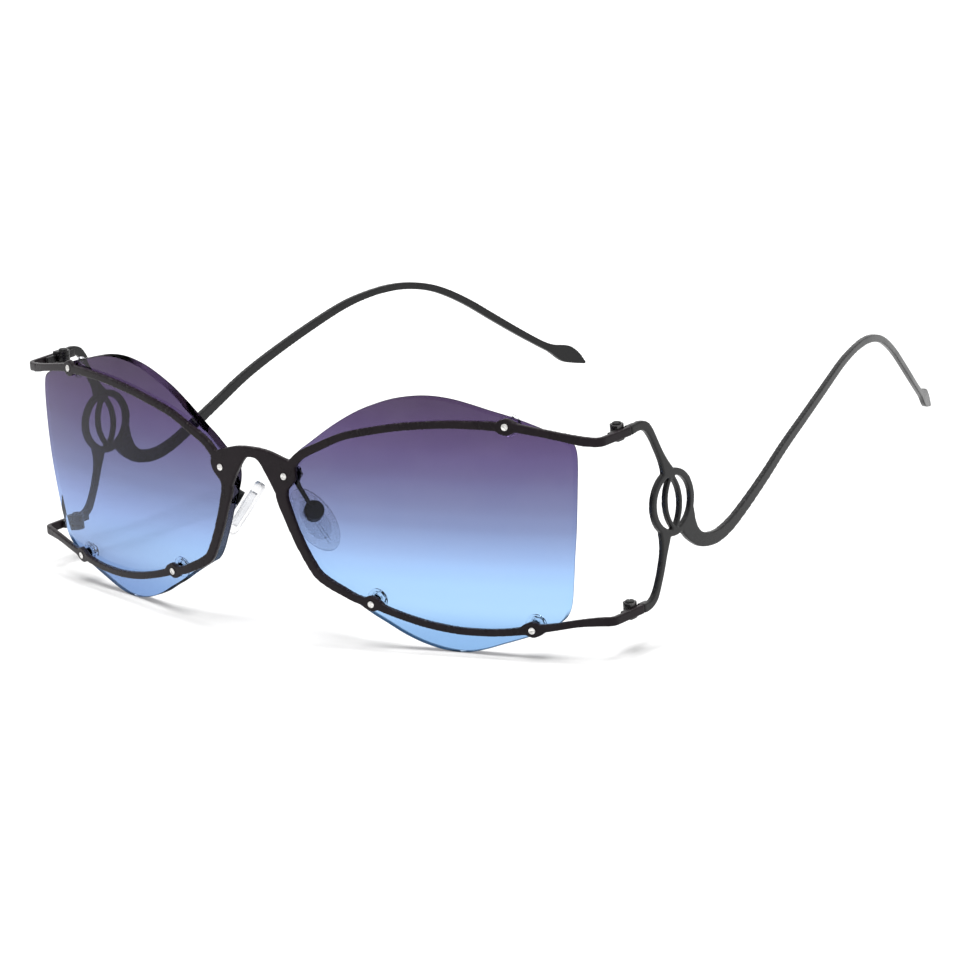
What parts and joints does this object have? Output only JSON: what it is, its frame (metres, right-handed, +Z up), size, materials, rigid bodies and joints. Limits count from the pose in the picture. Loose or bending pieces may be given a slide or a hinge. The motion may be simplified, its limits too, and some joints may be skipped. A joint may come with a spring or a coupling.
{
  "type": "rimless sunglasses",
  "caption": "Butterfly-shaped rimless sunglasses: gradient lenses screwed behind a stamped dark metal front, with folding double-armed temples and rocking clear nose pads.",
  "frame": {"origin": "middle of the footprint, at the height of the lenses' lowest points", "axes": "+X towards the wearer's left, +Y back towards the ears, +Z up; the lenses face -Y"},
  "size_m": [0.1458, 0.1574, 0.049],
  "materials": {
    "front_metal": "near-black satin enamel",
    "temple_metal": "dark gunmetal satin",
    "hinge_metal": "near-black satin enamel",
    "pad_metal": "black satin",
    "sleeve_black": "black",
    "screw_steel": "bright turned steel",
    "lens_tint": "tint fading from purple grey at the top to light blue at the bottom",
    "clear_plastic": "clear",
    "pad_silicone": "clear soft silicone",
    "pad_core": "clear hard plastic"
  },
  "bodies": {
    "front": {"front_frame": "front_metal", "lens_left": "lens_tint", "lens_right": "lens_tint", "lens_screws": "screw_steel", "lens_bushes": "sleeve_black", "lens_washers": "clear_plastic", "lens_nuts": "clear_plastic", "pad_arm_left": "pad_metal", "pad_arm_right": "pad_metal", "pad_box_left": "pad_metal", "pad_box_right": "pad_metal", "pad_screw_left": "screw_steel", "pad_screw_right": "screw_steel", "front_hinge_upper_left": "hinge_metal", "front_hinge_lower_left": "hinge_metal", "front_hinge_upper_right": "hinge_metal", "front_hinge_lower_right": "hinge_metal", "hinge_screws": "screw_steel"},
    "arm_left": {"temple_left": "temple_metal", "temple_hinge_upper_left": "hinge_metal", "temple_hinge_lower_left": "hinge_metal"},
    "arm_right": {"temple_right": "temple_metal", "temple_hinge_upper_right": "hinge_metal", "temple_hinge_lower_right": "hinge_metal"},
    "pad_left": {"nose_pad_left": "pad_silicone", "pad_insert_left": "pad_core"},
    "pad_right": {"nose_pad_right": "pad_silicone", "pad_insert_right": "pad_core"}
  },
  "joints": [
    {"name": "temple_left_fold", "type": "hinge", "parent": "front", "child": "arm_left", "pos_m": [0.0705, -0.05517, 0.02457], "axis": [0, 0, 1], "range_deg": [0, 80]},
    {"name": "temple_right_fold", "type": "hinge", "parent": "front", "child": "arm_right", "pos_m": [-0.0705, -0.05517, 0.02457], "axis": [0, 0, -1], "range_deg": [0, 75]},
    {"name": "nose_pad_left_rock", "type": "hinge", "parent": "front", "child": "pad_left", "pos_m": [0.00998, -0.07253, 0.02401], "axis": [0.3543, 0.8829, 0.308], "range_deg": [-5, 5]},
    {"name": "nose_pad_right_rock", "type": "hinge", "parent": "front", "child": "pad_right", "pos_m": [-0.00998, -0.07253, 0.02401], "axis": [-0.3543, 0.8829, 0.308], "range_deg": [-5, 5]}
  ]
}
